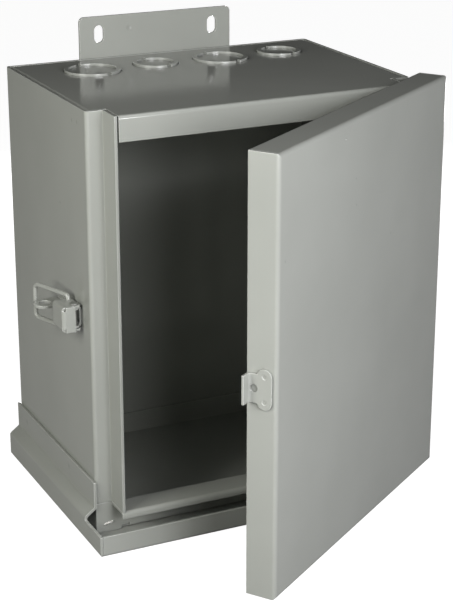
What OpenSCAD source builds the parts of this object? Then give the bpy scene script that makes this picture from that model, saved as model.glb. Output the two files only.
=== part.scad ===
// Hinged-cover sheet steel enclosure with a drip hood, standing on the hood.
// X runs across the front, Y runs from front to back, Z is up.
// The origin is the middle of the hood's flat base.

/* [Sheet steel] */
// Thickness of the folded sheet
sheet_t = 1.6; // [1.2:0.1:1.8]
// Inside radius of every bend in the sheet
bend_r = 0.6; // [0.5:0.1:2]
// Gap between two sheets that are welded together
seam = 0.2; // [0.1:0.05:0.4]

/* [Body] */
// Width over the side walls
body_w = 203.2; // [180:0.1:240]
// Height from the hood's base to the top of the knockout end
body_h = 254.2; // [230:0.1:300]
// Depth from the back to the front face of the shoulders
body_d = 131.2; // [115:0.1:160]
// Width of each shoulder, from the side wall in to the neck
shoulder_w = 10; // [9:0.1:12]
// Depth of the neck in front of the shoulders
neck_d = 16.8; // [15:0.1:18]

/* [Knockout end] */
// Height of the lip turned down at the front of the end panel
end_lip_h = 14.5; // [8:0.1:20]
// Height of the weld flanges turned down inside the walls
end_flange_h = 12; // [8:0.5:16]
// Gap between the lip's ends and the neck
end_lip_gap = 1; // [0.4:0.1:2]
// Diameter of the large knockouts
ko_large_d = 34.9; // [32:0.1:36]
// Diameter of the middle knockouts
ko_middle_d = 28.6; // [26:0.1:30]
// Diameter of the small knockouts
ko_small_d = 22.2; // [20:0.1:24]
// Spacing of the knockouts
ko_pitch = 42; // [38:0.1:45]
// Distance from the back to the rear edge of the knockouts
ko_margin = 16.4; // [10:0.1:30]
// Shift of the row of knockouts to the right of the middle
ko_shift = 4; // [0:0.5:8]
// Height by which the outer ring is punched up
ko_raise = 1.3; // [0.8:0.1:1.5]
// Width of the slit that is cut round each ring and disc
ko_slit = 0.5; // [0.3:0.05:0.8]
// Width of the ties that hold the rings and discs
ko_tie_w = 2.4; // [1.5:0.1:4]
// Direction of the ties, seen from above
ko_tie_angle = 105; // [0:1:180]

/* [Mounting flange] */
// Width of the flange
flange_w = 101.6; // [95:0.1:120]
// Height of the flange above the knockout end
flange_rise = 25.4; // [22:0.1:32]
// Length of the flange that is welded to the back
flange_lap = 22; // [15:0.5:30]
// Radius of the flange's corners
flange_corner_r = 3.2; // [1:0.1:6]
// Width of the slots
slot_w = 6.2; // [5:0.1:8]
// Length of the slots
slot_l = 10.8; // [9:0.1:14]
// Spacing of the slots
slot_pitch = 76.2; // [70:0.1:80]
// Height of the slots' middle above the knockout end
slot_rise = 14.5; // [12:0.1:15]
// Shift of the flange to the left of the middle
flange_shift = 3; // [0:0.5:6]

/* [Drip hood] */
// Reach of the hood beyond each side wall
hood_side = 8; // [7.5:0.1:12]
// Reach of the hood in front of the neck
hood_front = 9.6; // [7:0.1:16]
// Height of the hood's upright lip
hood_lip_h = 12.8; // [11:0.1:13.6]
// Height above the lip's edge at which the sides start to lean in
hood_brow = 1.2; // [0.1:0.1:2]
// Angle by which the sides lean in
hood_lean = 53; // [45:1:60]
// Height of the flanges that are welded to the side walls
hood_flange_h = 15.3; // [10:0.1:20]
// Reach of the left flange in front of the shoulder
hood_flange_reach = 1.8; // [0:0.1:2.2]
// Length cut off the hood's corner in front of the hinge
hood_corner_cut = 31; // [20:0.5:32]
// Height of the weld flange inside the back
hood_back_h = 15; // [10:0.5:20]

/* [Sill] */
// Height of the sill's top above the hood's base
sill_h = 20.6; // [20:0.1:24]
// Height of the lip turned down at the sill's front
sill_lip_h = 4.2; // [3.6:0.1:4.4]
// Length of the sill's foot, which is welded to the hood
sill_foot = 14; // [10:0.5:20]
// Width of the relief notches at the sill's foot
sill_notch_w = 5.4; // [4:0.1:8]
// Height of the relief notches
sill_notch_h = 4.6; // [3:0.1:6]
// Distance of the relief notches from the sill's ends
sill_notch_in = 15.6; // [12:0.1:20]

/* [Door] */
// Depth of the door's returns
door_d = 17.5; // [16:0.1:20]
// Gap between the shoulders and the door's returns, closed
door_gap = 2.7; // [2:0.1:4]
// Inset of the door's free edge from the side wall
door_inset = 0.2; // [0:0.1:1]
// Height of the door's top above the knockout end
door_rise = 2.6; // [2.4:0.1:4]
// Gap between the hood's lip and the door's lower edge
door_clear = 0.5; // [0.4:0.1:1.7]
// Angle by which the door stands open
door_open = 34.6; // [20:0.1:60]

/* [Hinge] */
// Radius of the hinge pin
hinge_pin_r = 1.5; // [1.2:0.05:1.7]
// Running clearance of the pin in its knuckles
hinge_pin_clear = 0.05; // [0.03:0.01:0.08]
// Outer radius of the knuckles
knuckle_r = 3; // [2.8:0.05:3.1]
// Number of knuckles on both leaves
knuckle_count = 9; // [5:2:13]
// Gap between neighbouring knuckles
knuckle_gap = 0.4; // [0.3:0.05:0.6]
// Thickness of the leaves
leaf_t = 1.4; // [1:0.1:1.6]
// Width of the leaves
leaf_w = 15; // [10:0.5:15.5]
// Play between the knuckles and the edges beside them
knuckle_play = 0.4; // [0.3:0.05:0.5]
// Distance of the hinge's ends from the sill and the knockout end
hinge_margin = 4; // [2:0.5:20]

/* [Latch] */
// Height of the latch's middle above the hood's base
latch_z = 133; // [100:0.5:160]
// Distance of the lever's pivot behind the shoulders
latch_back = 14.2; // [12:0.1:20]
// Distance of the lever's pivot from the side wall
pivot_out = 4.4; // [4.2:0.1:5]
// Thickness of the latch's pressings
latch_t = 1.2; // [1:0.05:1.3]
// Inside radius of the bends in the latch's pressings
latch_bend_r = 0.9; // [0.6:0.05:1]
// Height of the lever over its cheeks
lever_h = 15; // [14:0.1:15.2]
// Distance of the lever's web from the side wall
lever_out = 13; // [11:0.1:14]
// Length of the lever behind its pivot
lever_rear = 12; // [11.5:0.1:15]
// Distance from the pivot to the front of the lever's end wall
lever_front = 4.2; // [4.1:0.05:5]
// Gap between the side wall and the lever's cheeks
cheek_low = 1.9; // [1.8:0.1:2.4]
// Radius of the cheeks round the pivot
pivot_end_r = 3.4; // [3:0.1:3.6]
// Gap between the pivot and the lower edge of the lever's end wall
end_wall_rise = 1; // [0.6:0.1:2]
// Distance of the bail's pivot behind the lever's pivot
bail_back = 9.5; // [8.5:0.1:10]
// Radius of the bail's wire
wire_r = 1.35; // [1:0.05:1.4]
// Length of the bail
bail_l = 29.5; // [28.5:0.1:32]
// Height of the bail between the middles of its legs
bail_h = 20.2; // [20:0.1:22]
// Angle between the bail and the side wall
bail_lift = 20; // [10:1:40]
// Bend radius of the bail's ends, to the middle of the wire
bail_end_r = 2.1; // [1.6:0.1:2.4]
// Bend radius of the bail's corners, to the middle of the wire
bail_corner_r = 3; // [2:0.1:5]
// Radius of the latch's pivot pin
latch_pin_r = 1.25; // [1:0.05:1.3]
// Height of the pivot pin's heads
pin_head_t = 0.8; // [0.5:0.1:0.9]
// Running clearance of the latch's pins
latch_pin_clear = 0.05; // [0.03:0.01:0.08]
// Gap between the lever and its base
latch_gap = 0.3; // [0.3:0.05:0.4]
// Radius of the padlock eye
eye_r = 6.7; // [6:0.1:7]
// Thickness of the padlock eye
eye_t = 1.6; // [1.2:0.1:2]
// Radius of the hole in the padlock eye
eye_hole_r = 3.5; // [2.5:0.1:4]
// Distance of the padlock eye behind the lever's pivot
eye_back = 28.5; // [27:0.1:29]
// Distance of the eye's middle from the side wall
eye_out = 12; // [10:0.1:12.5]

/* [Keeper] */
// Thickness of the keeper
keeper_t = 1.2; // [1:0.1:1.4]
// Radius of the keeper's two weld lobes
lobe_r = 4.2; // [3.6:0.1:4.4]
// Distance of the lobes from the keeper's middle
lobe_out = 7; // [6:0.1:8]
// Distance of the lobes from the door's front
lobe_back = 6.8; // [6.6:0.1:7.5]
// Height of the keeper's tongue and hook
hook_h = 16; // [14:0.1:16.2]
// Reach of the hook from the door's return
hook_out = 7.1; // [6:0.1:9]
// Inside radius of the bend between the tongue and the hook
keeper_bend_r = 1.6; // [0.6:0.1:2]
// Distance of the hook from the rear edge of the door's return
hook_in = 0.8; // [0.5:0.1:1.5]
// Diameter of the hole in the tongue
keeper_hole_d = 4.4; // [3:0.1:4.6]
// Diameter of the spot welds
weld_d = 2.6; // [2:0.1:3]
// Depth of the spot welds
weld_sink = 0.3; // [0.2:0.05:0.5]

/* [Hidden] */
$fn = 64;
// Number of flats along each round of the hood's leaning sides
bend_steps = 8;
paint = "#9a9c95";
// Overrun of every cut past the face that it leaves
over = 1;
// Outside radius of a bend in the sheet
bend_out = bend_r + sheet_t;
half_w = body_w / 2;
neck_x = half_w - shoulder_w;
neck_y = body_d + neck_d;
// Inner faces of the walls, less the seam to what is welded inside them
inside_x = half_w - sheet_t - seam;
inside_y = sheet_t + seam;
// The hood
hood_x = half_w + hood_side;
hood_y = neck_y + hood_front;
base_top = sheet_t + seam;
// Straight part of the leaning stretch of the hood's sides
lean_offset = hood_side - seam - sheet_t;
lean_run = (lean_offset - (bend_r + bend_out) * (1 - cos(hood_lean))) / sin(hood_lean);
// Lowest edge of the back wall, just clear of what the hood stands on
back_foot = 2 * seam;
// The door, closed
door_left = -half_w + door_inset;
door_right = half_w + leaf_t + sheet_t + 2 * seam;
door_rear = body_d + door_gap;
door_front = door_rear + door_d;
door_low = hood_lip_h + door_clear;
door_top = body_h + door_rise;
// The hinge
knuckle_lift = seam / 2;
leaf_x = half_w + seam;
hinge_x = leaf_x + knuckle_lift + knuckle_r;
hinge_y = door_rear - knuckle_r - knuckle_play;
hinge_low = sill_h + hinge_margin;
hinge_high = body_h - hinge_margin;
knuckle_l = (hinge_high - hinge_low) / knuckle_count;
pin_bore_r = hinge_pin_r + hinge_pin_clear;
// The latch, in its own frame: X out from the wall, Y to the front
latch_bend_out = latch_bend_r + latch_t;
cheek_in = lever_h / 2 - latch_t;
base_half = cheek_in - latch_gap;
ear_r = 2 * latch_pin_r;
pin_head_share = 1.7;
pin_head_r = pin_head_share * latch_pin_r;
bail_pin_in = base_half - latch_gap;
base_rear = eye_back + eye_r;
end_wall_low = pivot_out + end_wall_rise;

// Places a shape drawn from the back of the body at the part's origin.
module in_frame() translate([0, hood_y / 2, 0]) children();

// A stretch of a ring between two directions.
module ring_stretch(r_in, r_out, from, to) {
  reach = 2 * r_out;
  middle = (from + to) / 2;
  intersection() {
    difference() {
      circle(r = r_out);
      circle(r = r_in);
    }
    polygon([[0, 0],
      [reach * cos(from), reach * sin(from)],
      [reach * cos(middle), reach * sin(middle)],
      [reach * cos(to), reach * sin(to)]]);
  }
}

// Section of a folded sheet: each step is a straight run and the bend after it.
// The sheet lies to the left of the path, and a bend to the left is positive.
module fold(steps, t = sheet_t, r = bend_r, i = 0) {
  run = steps[i][0];
  turn = steps[i][1];
  centre = turn > 0 ? t + r : -r;
  square([run, t]);
  if (i < len(steps) - 1)
    translate([run, centre]) {
      ring_stretch(r, r + t, turn > 0 ? -90 : 90, turn > 0 ? turn - 90 : turn + 90);
      rotate(turn) translate([0, -centre]) fold(steps, t, r, i + 1);
    }
}

// Extrudes a section drawn in Y and Z across the part, centred on the middle.
module across(width) rotate([90, 0, 90]) linear_extrude(width, center = true) children();

// Extrudes a section drawn in X and Z from one depth to another, both from the back.
module front_to_back(from, to) translate([0, -from, 0]) rotate([90, 0, 0]) linear_extrude(to - from) children();

// A rectangle with its two lower corners rounded.
module round_footed(w, h, r) {
  translate([0, r]) square([w, h - r]);
  translate([r, 0]) square([w - 2 * r, h]);
  for (x = [r, w - r])
    translate([x, r]) circle(r = r);
}

// A block whose edges round the lower face are rounded, as on a folded tray.
module tray_block(w, d, h, r) intersection() {
  translate([0, d, 0]) rotate([90, 0, 0]) linear_extrude(d) round_footed(w, h, r);
  rotate([90, 0, 90]) linear_extrude(w) round_footed(d, h, r);
}

// A tray folded from one sheet, open above.
module folded_tray(w, d, h) difference() {
  tray_block(w, d, h, bend_out);
  translate([sheet_t, sheet_t, sheet_t])
    tray_block(w - 2 * sheet_t, d - 2 * sheet_t, h - sheet_t + over, bend_r);
}

// A slot with round ends that stands upright.
module upright_slot(w, l) {
  square([w, l - w], center = true);
  for (end = [-1, 1])
    translate([0, end * (l - w) / 2]) circle(d = w);
}

// The side walls and the back, with the shoulders and the neck, from one folded sheet.
module body_shell() color(paint) in_frame() difference() {
  translate([0, 0, back_foot]) linear_extrude(body_h - back_foot)
    translate([-neck_x + sheet_t, -neck_y]) rotate(90) fold([
      [neck_d - bend_r, 90],
      [shoulder_w - bend_r - bend_out, -90],
      [body_d - 2 * bend_out, -90],
      [body_w - 2 * bend_out, -90],
      [body_d - 2 * bend_out, -90],
      [shoulder_w - bend_r - bend_out, 90],
      [neck_d - bend_r, 0]]);
  // The walls stand on the hood's base.
  translate([-half_w - over, -neck_y - over, 0])
    cube([body_w + 2 * over, neck_y + over - sheet_t, base_top]);
  // The shoulders and the neck stop at the sill.
  translate([-half_w - over, -neck_y - over, 0])
    cube([body_w + 2 * over, neck_y + over - body_d + sheet_t + seam, sill_h + seam]);
}

// Plan of one knockout's place in the row: its middle, outer and inner diameter.
function knockout(i) = let (outer = i % 2 == 0 ? ko_large_d : ko_middle_d)
  [(i - 1.5) * ko_pitch + ko_shift, -ko_margin - outer / 2, outer, i % 2 == 0 ? ko_middle_d : ko_small_d];

// Two strips of the panel that hold a ring and the disc inside it.
module knockout_ties(outer, inner) rotate(ko_tie_angle)
  for (side = [0, 180])
    rotate(side) translate([inner / 2 - 2 * ko_slit, -ko_tie_w / 2, 0])
      cube([(outer - inner) / 2 + 3 * ko_slit, ko_tie_w, sheet_t]);

// The panel at the upper end, with its lip, weld flanges and four double knockouts.
module knockout_end() color(paint) in_frame() {
  plate_low = body_h - sheet_t;
  difference() {
    union() {
      front_to_back(inside_y + bend_out, body_d - bend_out - seam)
        translate([-inside_x + sheet_t, body_h - end_flange_h]) rotate(90) fold([
          [end_flange_h - bend_out, -90],
          [2 * (inside_x - bend_out), -90],
          [end_flange_h - bend_out, 0]]);
      // Behind the shoulders the plate leaves room for their bends.
      translate([-inside_x + bend_r, -body_d + sheet_t + seam, plate_low])
        cube([2 * (inside_x - bend_r), 2 * bend_r, sheet_t]);
      // The lip in front stands between the two sides of the neck.
      across(2 * (neck_x - sheet_t - end_lip_gap))
        translate([-neck_y + sheet_t, body_h - end_lip_h]) rotate(90) fold([
          [end_lip_h - bend_out, -90],
          [neck_y / 2, 0]]);
      // The weld flange inside the back.
      across(2 * (inside_x - bend_out))
        translate([-inside_y, body_h - end_flange_h]) rotate(90)
          fold([[end_flange_h - bend_out, 90], [bend_out, 0]]);
    }
    for (i = [0:3])
      translate([knockout(i)[0], knockout(i)[1], plate_low - over])
        cylinder(h = sheet_t + 2 * over, d = knockout(i)[2]);
  }
  for (i = [0:3])
    translate([knockout(i)[0], knockout(i)[1], plate_low]) {
      outer = knockout(i)[2];
      inner = knockout(i)[3];
      difference() {
        translate([0, 0, ko_raise]) cylinder(h = sheet_t, d = outer - 2 * ko_slit);
        cylinder(h = 2 * sheet_t + over, d = inner);
        // The ring is broken above its ties.
        rotate(ko_tie_angle) translate([-outer, -ko_tie_w / 2 - ko_slit, sheet_t])
          cube([2 * outer, ko_tie_w + 2 * ko_slit, sheet_t + over]);
      }
      cylinder(h = sheet_t, d = inner - 2 * ko_slit);
      knockout_ties(outer, inner);
    }
}

// The plate with two upright slots, welded to the outside of the back.
module mounting_flange() color(paint) in_frame()
  translate([-flange_shift, seam + sheet_t, body_h]) rotate([90, 0, 0]) linear_extrude(sheet_t) difference() {
    translate([-flange_w / 2, flange_rise]) mirror([0, 1])
      round_footed(flange_w, flange_rise + flange_lap, flange_corner_r);
    for (side = [-1, 1])
      translate([side * slot_pitch / 2, slot_rise]) upright_slot(slot_w, slot_l);
  }

// Points along an arc, in even steps.
function arc_points(centre, r, from, to) = [for (i = [0:bend_steps])
  centre + r * [cos(from + (to - from) * i / bend_steps), sin(from + (to - from) * i / bend_steps)]];

// The upper stretch of the hood's right side: it leans in to a flange that is welded to the wall.
module hood_side_strip(depth) {
  lean_low = hood_lip_h + hood_brow;
  lean_high = lean_low + (bend_r + bend_out) * sin(hood_lean) + lean_run * cos(hood_lean);
  flange_x = half_w + seam;
  lower = [hood_x - bend_out, lean_low];
  upper = [flange_x + bend_out, lean_high];
  flange_top = lean_high + hood_flange_h;
  front_to_back(0, depth) polygon(concat(
    [[hood_x, hood_lip_h / 2]],
    arc_points(lower, bend_out, 0, hood_lean),
    arc_points(upper, bend_r, 180 + hood_lean, 180),
    [[flange_x + sheet_t, flange_top], [flange_x, flange_top]],
    arc_points(upper, bend_out, 180, 180 + hood_lean),
    arc_points(lower, bend_r, hood_lean, 0),
    [[hood_x - sheet_t, hood_lip_h / 2]]));
}

// The hood: a tray round the lower end, with sides that lean in to the walls.
module drip_hood() color(paint) in_frame() {
  difference() {
    translate([-hood_x, -hood_y, 0]) folded_tray(2 * hood_x, hood_y + 2 * bend_out, hood_lip_h);
    // The tray has no rear side.
    translate([-hood_x - over, 0, -over])
      cube([2 * (hood_x + over), 3 * bend_out, hood_lip_h + 2 * over]);
    // The corner in front of the hinge is cut off, below the door's swing.
    translate([0, 0, -over]) linear_extrude(hood_lip_h + 2 * over) polygon([
      [hood_x - hood_corner_cut - over, -hood_y - over],
      [hood_x + over, -hood_y - over],
      [hood_x + over, -hood_y + hood_corner_cut + over]]);
    // The seam between the front lip and the left side.
    translate([-hood_x + sheet_t, -hood_y - over, bend_out]) cube([seam, sheet_t + over, hood_lip_h]);
    // The base stops short of the back between the walls, in front of its flange's bend.
    translate([-half_w - seam, -inside_y - bend_out - bend_r, -over])
      cube([2 * (half_w + seam), 3 * bend_out, hood_lip_h]);
  }
  mirror([1, 0, 0]) hood_side_strip(body_d + hood_flange_reach);
  // The right side stops behind the hinge, where the door swings.
  hood_side_strip(hinge_y - (door_front - hinge_y) - door_clear);
  // The weld flange inside the back.
  across(2 * (inside_x - bend_out))
    translate([-inside_y - 2 * bend_out, 0]) fold([[bend_out, 90], [hood_back_h - bend_out, 0]]);
}

// The front closing plate, folded forward over the hood and down into a lip.
module sill() color(paint) in_frame() difference() {
  sill_end = sill_notch_in + sill_notch_w / 2;
  union() {
    intersection() {
      across(body_w) translate([-neck_y + sheet_t, sill_h - sill_lip_h]) rotate(90) fold([
        [sill_lip_h - bend_out, -90],
        [neck_d - bend_out - bend_out + sheet_t, -90],
        [sill_h - base_top - 2 * bend_out, 90],
        [sill_foot - bend_out, 0]]);
      translate([-neck_x, -neck_y - over, 0]) cube([2 * neck_x, neck_y, sill_h + over]);
    }
    for (side = [0, 1])
      mirror([side, 0, 0]) {
        // Beside the neck the plate is flat up to its top edge.
        translate([half_w - shoulder_w, -body_d, base_top]) cube([shoulder_w, sheet_t, sill_h - base_top]);
        // Beside the notches it is flat down to the hood.
        translate([half_w - sill_end, -body_d, base_top]) cube([sill_end, sheet_t, 2 * bend_out]);
      }
  }
  for (side = [-1, 1])
    translate([side * (half_w - sill_notch_in - sill_notch_w / 2) - sill_notch_w / 2, -body_d - over, 0])
      cube([sill_notch_w, bend_out + over, sill_notch_h]);
}

// A knuckle's share of the hinge: the strip that curls round the pin.
module knuckle(i, front) {
  low = hinge_low + i * knuckle_l + knuckle_gap / 2;
  height = knuckle_l - knuckle_gap;
  reach = knuckle_r + 2 * knuckle_play;
  translate([hinge_x, -hinge_y, low]) cylinder(h = height, r = knuckle_r);
  translate([leaf_x, -hinge_y - (front ? reach : 0), low]) cube([leaf_t, reach, height]);
}

// One leaf of the hinge, with every second knuckle.
module hinge_leaf(first, front) difference() {
  far = knuckle_r + knuckle_play;
  union() {
    translate([leaf_x, -hinge_y - (front ? far + leaf_w : -far), hinge_low])
      cube([leaf_t, leaf_w, hinge_high - hinge_low]);
    for (i = [first:2:knuckle_count - 1])
      knuckle(i, front);
  }
  translate([hinge_x, -hinge_y, hinge_low - over])
    cylinder(h = hinge_high - hinge_low + 2 * over, r = pin_bore_r);
}

module hinge_body_leaf() color(paint) in_frame() hinge_leaf(0, false);

module hinge_pin() color("silver") in_frame() translate([hinge_x, -hinge_y, hinge_low])
  cylinder(h = hinge_high - hinge_low, r = hinge_pin_r);

// Turns what is drawn on the closed door to the angle at which the door stands open.
module on_door() in_frame() translate([hinge_x, -hinge_y, 0]) rotate(door_open)
  translate([-hinge_x, hinge_y, 0]) children();

module hinge_door_leaf() color(paint) on_door() hinge_leaf(1, true);

// The door: a tray with a return on all four sides and a seam at each corner.
module door() color(paint) on_door() difference() {
  door_w = door_right - door_left;
  door_h = door_top - door_low;
  translate([door_left, -door_front, door_top]) rotate([-90, 0, 0]) folded_tray(door_w, door_h, door_d);
  for (z = [door_low, door_top], x = [door_left + sheet_t, door_right - sheet_t])
    translate([x - seam / 2, -door_rear - door_d + bend_out, z - sheet_t])
      cube([seam, door_d - bend_out + over, 2 * sheet_t]);
}

// The keeper on the door's free return: two weld lobes, a tongue and a hook.
module keeper() color(paint) on_door()
  translate([door_left - seam, -door_front, latch_z]) rotate([0, -90, 0]) {
    // From here X is up, Y runs back from the door's front and Z stands out from the return.
    root = door_d - hook_in - keeper_t;
    difference() {
      union() {
        linear_extrude(keeper_t) {
          for (side = [-1, 1])
            translate([side * lobe_out, lobe_back]) circle(r = lobe_r);
          translate([-lobe_out, lobe_back - lobe_r]) square([2 * lobe_out, 2 * lobe_r]);
        }
        translate([-hook_h / 2, lobe_back, 0]) rotate([90, 0, 90]) linear_extrude(hook_h)
          fold([[root - lobe_back - keeper_bend_r, 90], [hook_out - keeper_t - keeper_bend_r, 0]],
            keeper_t, keeper_bend_r);
      }
      translate([0, root - keeper_bend_r / 4 - keeper_hole_d / 2, -over])
        cylinder(h = keeper_t + 2 * over, d = keeper_hole_d);
      for (side = [-1, 1])
        translate([side * lobe_out, lobe_back, keeper_t - weld_sink]) cylinder(h = over, d = weld_d);
    }
  }

// The latch's own frame on the left wall: X out from the wall, Y to the front, the lever's pivot at Y 0.
module on_latch() in_frame() translate([-half_w, -body_d + latch_back, latch_z]) rotate(180) children();

// Outline of a cheek or ear that turns on the pivot.
module round_pivot_end(r) translate([pivot_out, 0]) circle(r = r);

// The base: a plate on the wall with two ears for the pivot and an eye for a padlock.
module latch_base() color(paint) on_latch() translate([seam, 0, 0]) difference() {
  out = pivot_out - seam;
  union() {
    // The ears.
    intersection() {
      translate([0, ear_r, 0]) rotate([90, 0, 0]) linear_extrude(2 * ear_r)
        translate([out + ear_r, base_half]) rotate(180) fold([
          [out + ear_r - latch_bend_out, 90],
          [2 * (base_half - latch_bend_out), 90],
          [out + ear_r - latch_bend_out, 0]], latch_t, latch_bend_r);
      translate([-seam, 0, -lever_h]) linear_extrude(2 * lever_h) {
        round_pivot_end(ear_r);
        // In front of the pivot the ears leave room for the lever's end wall.
        translate([0, -ear_r]) square([pivot_out, ear_r]);
      }
    }
    // The plate on the wall, between the bends of the ears.
    translate([0, -base_rear, -base_half + latch_bend_out])
      cube([latch_t, base_rear, 2 * (base_half - latch_bend_out)]);
    // The padlock eye.
    translate([0, -eye_back, -eye_t / 2]) linear_extrude(eye_t) {
      translate([eye_out - seam, 0]) circle(r = eye_r);
      translate([0, -eye_r]) square([eye_out - seam, 2 * eye_r]);
    }
  }
  translate([eye_out - seam, -eye_back, -eye_t]) cylinder(h = 2 * eye_t, r = eye_hole_r);
  translate([out, 0, -lever_h]) cylinder(h = 2 * lever_h, r = latch_pin_r + latch_pin_clear);
}

// The rivet on which the lever turns.
module latch_pin() color("silver") on_latch() translate([pivot_out, 0, 0]) {
  head_z = lever_h / 2 + latch_gap;
  cylinder(h = 2 * head_z, r = latch_pin_r, center = true);
  for (side = [0, 1])
    mirror([0, 0, side]) translate([0, 0, head_z]) cylinder(h = pin_head_t, r = pin_head_r);
}

// The lever: two cheeks, a web and an end wall folded from one blank.
module latch_lever() color(paint) on_latch() difference() {
  cheek_front = lever_front - latch_t - seam;
  union() {
    intersection() {
      translate([0, cheek_front, 0]) rotate([90, 0, 0]) linear_extrude(cheek_front + lever_rear)
        translate([0, -lever_h / 2]) fold([
          [lever_out - latch_bend_out, 90],
          [lever_h - 2 * latch_bend_out, 90],
          [lever_out - latch_bend_out, 0]], latch_t, latch_bend_r);
      translate([0, 0, -lever_h]) linear_extrude(2 * lever_h) {
        round_pivot_end(pivot_end_r);
        translate([cheek_low, -lever_rear]) square([lever_out, lever_rear]);
        translate([pivot_out, -over]) square([lever_out, cheek_front + over]);
      }
    }
    // The web runs on into the end wall.
    translate([0, 0, -lever_h / 2 + latch_bend_out]) linear_extrude(lever_h - 2 * latch_bend_out)
      translate([lever_out, 0]) rotate(90) fold([
        [lever_front - latch_bend_out, 90],
        [lever_out - latch_bend_out - end_wall_low, 0]], latch_t, latch_bend_r);
    translate([end_wall_low, lever_front - latch_t, -lever_h / 2])
      cube([lever_out - latch_bend_out - end_wall_low, latch_t, lever_h]);
  }
  translate([pivot_out, 0, -lever_h]) cylinder(h = 2 * lever_h, r = latch_pin_r + latch_pin_clear);
  translate([pivot_out, -bail_back, -lever_h]) cylinder(h = 2 * lever_h, r = wire_r + latch_pin_clear);
}

// A quarter bend in the wire, from the X direction down to -Z.
module wire_bend(r) rotate([90, 0, 0]) rotate_extrude(angle = 90) translate([r, 0]) circle(r = wire_r);

// The bail: a wire loop with its two ends turned in through the lever's cheeks.
module latch_bail() color(paint) on_latch() translate([pivot_out, -bail_back, 0]) rotate(bail_lift - 90) {
  leg_z = bail_h / 2;
  for (side = [0, 1])
    mirror([0, 0, side]) {
      translate([0, 0, bail_pin_in]) cylinder(h = leg_z - bail_end_r - bail_pin_in, r = wire_r);
      translate([bail_end_r, 0, leg_z - bail_end_r]) mirror([1, 0, 0]) wire_bend(bail_end_r);
      translate([bail_end_r, 0, leg_z]) rotate([0, 90, 0])
        cylinder(h = bail_l - bail_end_r - bail_corner_r, r = wire_r);
      translate([bail_l - bail_corner_r, 0, leg_z - bail_corner_r]) wire_bend(bail_corner_r);
    }
  translate([bail_l, 0, 0]) cylinder(h = bail_h - 2 * bail_corner_r, r = wire_r, center = true);
}

body_shell();
knockout_end();
mounting_flange();
drip_hood();
sill();
hinge_body_leaf();
hinge_pin();
hinge_door_leaf();
door();
keeper();
latch_base();
latch_pin();
latch_lever();
latch_bail();
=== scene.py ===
"""Looks of a hinged-cover sheet steel enclosure that stands on its drip hood."""
import math

import bpy
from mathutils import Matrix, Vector


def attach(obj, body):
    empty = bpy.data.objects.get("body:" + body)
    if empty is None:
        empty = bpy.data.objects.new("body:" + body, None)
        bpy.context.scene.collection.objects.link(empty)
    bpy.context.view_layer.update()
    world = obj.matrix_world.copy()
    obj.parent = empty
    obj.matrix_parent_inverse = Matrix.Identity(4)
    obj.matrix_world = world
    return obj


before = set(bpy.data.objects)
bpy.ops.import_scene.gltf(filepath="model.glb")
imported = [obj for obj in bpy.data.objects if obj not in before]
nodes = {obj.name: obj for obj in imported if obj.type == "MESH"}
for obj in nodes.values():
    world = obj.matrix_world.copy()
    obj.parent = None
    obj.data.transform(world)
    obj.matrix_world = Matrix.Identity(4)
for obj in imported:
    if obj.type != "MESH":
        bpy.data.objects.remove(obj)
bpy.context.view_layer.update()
MM = 0.001

# Camera, fitted to the photograph: degrees, millimetres and pixels
CAMERA_AZIMUTH = -25.64
CAMERA_ELEVATION = 19.66
CAMERA_TARGET = Vector((0, -1.2, 130)) * MM
CAMERA_DISTANCE = 1047.5 * MM
CAMERA_ASIDE = 6.5 * MM
CAMERA_UP = -15.9 * MM
FOCAL_LENGTH_PX = 1716
IMAGE_LONG_SIDE_PX = 606
SENSOR = 36

# Softboxes: azimuth and elevation in degrees, then distance, width and height in metres, watts and colour.
# The right and back ones stand lower than the knockout end, so that it doesn't mirror them.
SOFTBOX_AIM = Vector((-0.02, -0.08, 0.14))
SOFTBOXES = {
    "left_softbox": (-72, 22, 0.70, 0.35, 0.45, 3.9, "#fffff8"),
    "front_softbox": (4, 22, 0.64, 0.30, 0.25, 3.2, "#fcfcff"),
    "fill_softbox": (-8, 15, 0.64, 0.20, 0.40, 2.0, "#ffffff"),
    "overhead_softbox": (50, 70, 0.80, 0.30, 0.30, 0.5, "#ffffff"),
    "right_softbox": (122, 0, 0.90, 0.40, 0.20, 2.2, "#ffffff"),
    "back_softbox": (159, 0, 0.90, 0.22, 0.20, 4.0, "#ffffff"),
}
ROOM_LIGHT = 0.01

# Paper under the object: its glow in the picture and in reflections, and its own colour
PAPER_SEEN = 0.96
PAPER_REFLECTED = 0.13
PAPER_COLOUR = "#808080"
FLOOR_SIDE = 16
FLOOR_DROP = 0.1 * MM

# Powder coat: faint clouds, orange peel and gloss
COAT_DARK = "#949691"
COAT_LIGHT = "#999b96"
CLOUD_SIZE = 70 * MM
CLOUD_DETAIL = 3
CLOUD_LOW = 0.3
CLOUD_HIGH = 0.7
PEEL_SIZE = 1.5 * MM
PEEL_DETAIL = 2
PEEL_DEPTH = 0.1 * MM
PEEL_STRENGTH = 0.06
COAT_ROUGHNESS = 0.14
COAT_IOR = 1.6
# Its painted edge highlight: the cosines of the normal's turn at which the painted highlight starts and is
# full
EDGE_HIGHLIGHT_COLOUR = "#dcdedb"
EDGE_RADIUS = 0.5 * MM
EDGE_SAMPLES = 8
EDGE_HIGHLIGHT_START = 0.98
EDGE_HIGHLIGHT_FULL = 0.8
EDGE_HIGHLIGHT_STRENGTH = 0.55
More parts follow.
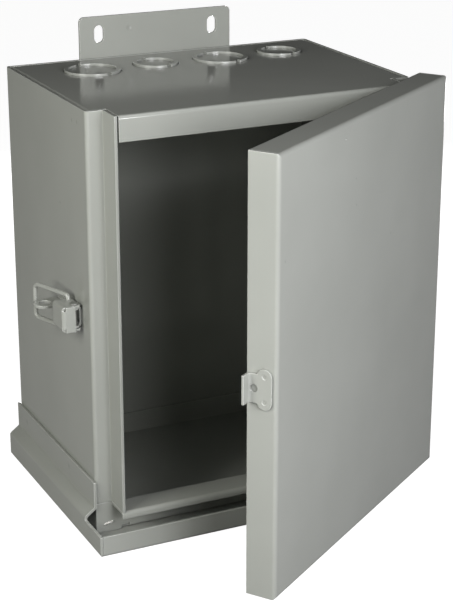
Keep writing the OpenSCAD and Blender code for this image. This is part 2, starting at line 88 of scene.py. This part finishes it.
# Dips in it over spot welds and grains, as x, y, z and radius in millimetres
DIPS = {
    "body_shell": [(-101.6, -30.8, 245, 1.8), (-101.6, -38.6, 245.6, 1.8), (-101.6, -8, 192, 1)],
    "drip_hood": [(-103.4, 62.5, 28, 2.6), (-103.4, -12.5, 29, 2.6)],
    "mounting_flange": [(-21.4, 79, 271.2, 2.4)],
    "door": [(-47, -181.9, 200.3, 0.9), (18.7, -136.6, 223.8, 0.8), (19.4, -136.1, 209, 0.8),
             (7.6, -144.2, 248.2, 0.7), (57, -110.1, 181, 0.8), (-18.5, -162.2, 263.9, 0.7)],
}
DIP_DEPTH = 0.12 * MM
# Painted shade: how much darker the coat is painted in the middle of a dip
DIP_PAINTED_SHADE = 0.12

# Zinc plating on the pins
ZINC_DARK = "#a9aaa8"
ZINC_LIGHT = "#c6c7c4"
SPANGLE_SIZE = 2 * MM
SPANGLE_DETAIL = 4
ZINC_ROUGHNESS_LOW = 0.35
ZINC_ROUGHNESS_HIGH = 0.55

# Weld bead that tacks the sill's end: its metal, its two ends and its ripples.
# The sway is the share of a ripple's size by which the drops go up and down in turn.
WELD_DARK = "#cfccc6"
WELD_LIGHT = "#f0efec"
TINT_SIZE = 0.8 * MM
TINT_DETAIL = 3
WELD_ROUGHNESS = 0.4
BEAD_ENDS = Vector((-96.3, -52.4, 6.7)) * MM, Vector((-91.9, -52.4, 7.5)) * MM
BEAD_RIPPLE = Vector((0.85, 0.55, 0.75)) * MM
BEAD_RIPPLES = 6
BEAD_SWAY = 0.2
BEAD_VOXEL = 0.12 * MM
DROP_SEGMENTS = 24
DROP_RINGS = 16


def srgb(code):
    """Linear RGBA of an sRGB hex colour."""
    parts = [int(code[i:i + 2], 16) / 255 for i in (1, 3, 5)]
    return [p / 12.92 if p <= 0.04045 else ((p + 0.055) / 1.055) ** 2.4 for p in parts] + [1]


def towards_viewer(turn, rise):
    """Direction away from the object: turn 0 is straight in front, and rise is above the horizon."""
    turn, rise = math.radians(turn), math.radians(rise)
    return Vector((math.sin(turn) * math.cos(rise), -math.cos(turn) * math.cos(rise), math.sin(rise)))


def new_material(name):
    """An empty node material and its tree."""
    material = bpy.data.materials.new(name)
    material.use_nodes = True
    material.node_tree.nodes.clear()
    return material, material.node_tree


def add_node(tree, kind, inputs=None, **settings):
    """Adds a node; an input that is a socket is linked, any other is set."""
    node = tree.nodes.new(kind)
    for name, value in settings.items():
        setattr(node, name, value)
    for name, value in (inputs or {}).items():
        if isinstance(value, bpy.types.NodeSocket):
            tree.links.new(value, node.inputs[name])
        else:
            node.inputs[name].default_value = value
    return node


def finish_material(tree, shader):
    """Sends a shader to the material's surface."""
    add_node(tree, "ShaderNodeOutputMaterial", {"Surface": shader.outputs[0]})


def noise(tree, place, size, detail):
    """Noise from 0 to 1, with grains of a size in metres."""
    return add_node(tree, "ShaderNodeTexNoise", {
        "Vector": place, "Scale": 1 / size, "Detail": detail}).outputs["Fac"]


def tones(tree, value, dark, light, low=0, high=1):
    """Colour that goes from dark to light as a value goes from low to high."""
    ramp = add_node(tree, "ShaderNodeValToRGB", {"Fac": value})
    first, last = ramp.color_ramp.elements
    first.position, first.color = low, srgb(dark)
    last.position, last.color = high, srgb(light)
    return ramp.outputs["Color"]


def dips(tree, place, marks):
    """Soft round dips: 1 in the middle of a mark and 0 outside it."""
    depth = 0
    for x, y, z, radius in marks:
        away = add_node(tree, "ShaderNodeVectorMath", {
            0: place, 1: Vector((x, y, z)) * MM}, operation="DISTANCE")
        dip = add_node(tree, "ShaderNodeMapRange", {
            "Value": away.outputs["Value"], "From Min": 0, "From Max": radius * MM,
            "To Min": 1, "To Max": 0}, interpolation_type="SMOOTHSTEP")
        depth = add_node(tree, "ShaderNodeMath", {
            0: depth, 1: dip.outputs[0]}, operation="MAXIMUM").outputs[0]
    return depth


def powder_coated_steel(name, marks):
    """Sheet steel with a glossy grey powder coat, sprayed and baked, and the dips that show through it."""
    material, tree = new_material(name)
    place = add_node(tree, "ShaderNodeTexCoord").outputs["Object"]
    # Faint clouds keep the large faces from looking flat.
    cloud = noise(tree, place, CLOUD_SIZE, CLOUD_DETAIL)
    tone = tones(tree, cloud, COAT_DARK, COAT_LIGHT, CLOUD_LOW, CLOUD_HIGH)
    # Painted highlight: the coat is made paler along the edges of the sheet, which are rounded by the
    # blanking, to stand for the light they catch.
    rounded = add_node(tree, "ShaderNodeBevel", {"Radius": EDGE_RADIUS}, samples=EDGE_SAMPLES).outputs[0]
    flat = add_node(tree, "ShaderNodeNewGeometry").outputs["Normal"]
    turned = add_node(tree, "ShaderNodeVectorMath", {0: rounded, 1: flat}, operation="DOT_PRODUCT")
    edge_highlight = add_node(tree, "ShaderNodeMapRange", {
        "Value": turned.outputs["Value"], "From Min": EDGE_HIGHLIGHT_START, "From Max": EDGE_HIGHLIGHT_FULL,
        "To Min": 0, "To Max": EDGE_HIGHLIGHT_STRENGTH})
    # A colour mix has its factor, its two colours and its result at these numbers.
    colour = add_node(tree, "ShaderNodeMix", {
        0: edge_highlight.outputs[0], 6: tone, 7: srgb(EDGE_HIGHLIGHT_COLOUR)}, data_type="RGBA").outputs[2]
    # Orange peel softens the reflections.
    peel = noise(tree, place, PEEL_SIZE, PEEL_DETAIL)
    relief = add_node(tree, "ShaderNodeBump", {
        "Strength": PEEL_STRENGTH, "Distance": PEEL_DEPTH, "Height": peel, "Normal": rounded})
    if marks:
        depth = dips(tree, place, marks)
        relief = add_node(tree, "ShaderNodeBump", {
            "Strength": 1, "Distance": DIP_DEPTH, "Height": depth, "Normal": relief.outputs[0]}, invert=True)
        # Painted shade: the coat's colour is darkened inside the dips.
        dip_shade = add_node(tree, "ShaderNodeMath", {0: depth, 1: -DIP_PAINTED_SHADE, 2: 1}, operation="MULTIPLY_ADD")
        colour = add_node(tree, "ShaderNodeHueSaturation", {
            "Color": colour, "Value": dip_shade.outputs[0]}).outputs[0]
    shader = add_node(tree, "ShaderNodeBsdfPrincipled", {
        "Base Color": colour, "Roughness": COAT_ROUGHNESS, "IOR": COAT_IOR, "Normal": relief.outputs[0]})
    finish_material(tree, shader)
    return material


def zinc_plated_steel():
    """Drawn steel pin with a dull zinc plating."""
    material, tree = new_material("zinc_plated_steel")
    place = add_node(tree, "ShaderNodeTexCoord").outputs["Object"]
    spangle = noise(tree, place, SPANGLE_SIZE, SPANGLE_DETAIL)
    tone = tones(tree, spangle, ZINC_DARK, ZINC_LIGHT)
    dull = add_node(tree, "ShaderNodeMapRange", {
        "Value": spangle, "To Min": ZINC_ROUGHNESS_LOW, "To Max": ZINC_ROUGHNESS_HIGH})
    shader = add_node(tree, "ShaderNodeBsdfPrincipled", {
        "Base Color": tone, "Metallic": 1, "Roughness": dull.outputs[0]})
    finish_material(tree, shader)
    return material


def bare_weld_steel():
    """Weld metal as it froze: bright steel with a little heat tint in the ripples."""
    material, tree = new_material("bare_weld_steel")
    place = add_node(tree, "ShaderNodeTexCoord").outputs["Object"]
    tint = noise(tree, place, TINT_SIZE, TINT_DETAIL)
    tone = tones(tree, tint, WELD_DARK, WELD_LIGHT)
    shader = add_node(tree, "ShaderNodeBsdfPrincipled", {
        "Base Color": tone, "Metallic": 1, "Roughness": WELD_ROUGHNESS})
    finish_material(tree, shader)
    return material


def studio_floor():
    """Matt paper that glows white in the picture and dimmer in reflections, and keeps the shadow."""
    material, tree = new_material("matt_white_paper")
    ray = add_node(tree, "ShaderNodeLightPath")
    reflected = add_node(tree, "ShaderNodeMath", {
        0: ray.outputs["Is Glossy Ray"], 1: PAPER_REFLECTED}, operation="MULTIPLY")
    strength = add_node(tree, "ShaderNodeMath", {
        0: ray.outputs["Is Camera Ray"], 1: PAPER_SEEN, 2: reflected.outputs[0]}, operation="MULTIPLY_ADD")
    glow = add_node(tree, "ShaderNodeEmission", {"Strength": strength.outputs[0]})
    paper = add_node(tree, "ShaderNodeBsdfDiffuse", {"Color": srgb(PAPER_COLOUR)})
    both = add_node(tree, "ShaderNodeAddShader", {0: paper.outputs[0], 1: glow.outputs[0]})
    finish_material(tree, both)
    return material


def dress(piece, material):
    """Gives a piece one finish all over."""
    piece.data.materials.clear()
    piece.data.materials.append(material)


def weld_bead(material):
    """The short rippled bead at the sill's end, run together from overlapping drops."""
    start, end = BEAD_ENDS
    bpy.ops.object.select_all(action="DESELECT")
    drops = []
    for i in range(BEAD_RIPPLES):
        spot = start.lerp(end, i / (BEAD_RIPPLES - 1))
        spot.z += (BEAD_SWAY if i % 2 else -BEAD_SWAY) * BEAD_RIPPLE.z
        bpy.ops.mesh.primitive_uv_sphere_add(
            segments=DROP_SEGMENTS, ring_count=DROP_RINGS, radius=1, location=spot)
        bpy.context.object.scale = BEAD_RIPPLE
        drops.append(bpy.context.object)
    for drop in drops:
        drop.select_set(True)
    bpy.ops.object.join()
    bpy.ops.object.transform_apply(location=True, rotation=True, scale=True)
    bead = bpy.context.object
    bead.name = "weld_bead"
    melt = bead.modifiers.new("melt", "REMESH")
    melt.mode = "VOXEL"
    melt.voxel_size = BEAD_VOXEL
    bpy.ops.object.modifier_apply(modifier=melt.name)
    bpy.ops.object.shade_smooth()
    dress(bead, material)
    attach(bead, "enclosure")


# Finishes
plain_coat = powder_coated_steel("powder_coated_steel", ())
zinc = zinc_plated_steel()
for name, piece in nodes.items():
    if name in DIPS:
        dress(piece, powder_coated_steel("powder_coated_steel_" + name, DIPS[name]))
    else:
        dress(piece, zinc if name.endswith("_pin") else plain_coat)
weld_bead(bare_weld_steel())

# Floor
bpy.ops.object.select_all(action="DESELECT")
bpy.ops.mesh.primitive_plane_add(size=FLOOR_SIDE, location=(0, 0, -FLOOR_DROP))
floor = bpy.context.object
floor.name = "floor"
dress(floor, studio_floor())

# Lights
for name, (turn, rise, distance, width, height, power, colour) in SOFTBOXES.items():
    lamp = bpy.data.lights.new(name, "AREA")
    lamp.shape = "RECTANGLE"
    lamp.size = width
    lamp.size_y = height
    lamp.energy = power
    lamp.color = srgb(colour)[:3]
    away = towards_viewer(turn, rise)
    softbox = bpy.data.objects.new(name, lamp)
    softbox.location = SOFTBOX_AIM + away * distance
    softbox.rotation_euler = away.to_track_quat("Z", "Y").to_euler()
    bpy.context.scene.collection.objects.link(softbox)
room = bpy.data.worlds.new("room")
room.use_nodes = True
air = room.node_tree.nodes["Background"]
air.inputs["Color"].default_value = (1, 1, 1, 1)
air.inputs["Strength"].default_value = ROOM_LIGHT
bpy.context.scene.world = room

# Camera
back = towards_viewer(CAMERA_AZIMUTH, CAMERA_ELEVATION)
right = Vector((0, 0, 1)).cross(back).normalized()
up = back.cross(right)
camera = bpy.data.objects.new("camera", bpy.data.cameras.new("camera"))
camera.location = CAMERA_TARGET + back * CAMERA_DISTANCE + right * CAMERA_ASIDE + up * CAMERA_UP
camera.rotation_euler = back.to_track_quat("Z", "Y").to_euler()
camera.data.sensor_width = SENSOR
camera.data.lens = FOCAL_LENGTH_PX / IMAGE_LONG_SIDE_PX * SENSOR
bpy.context.scene.collection.objects.link(camera)
bpy.context.scene.camera = camera
bpy.context.scene.view_settings.view_transform = "Standard"
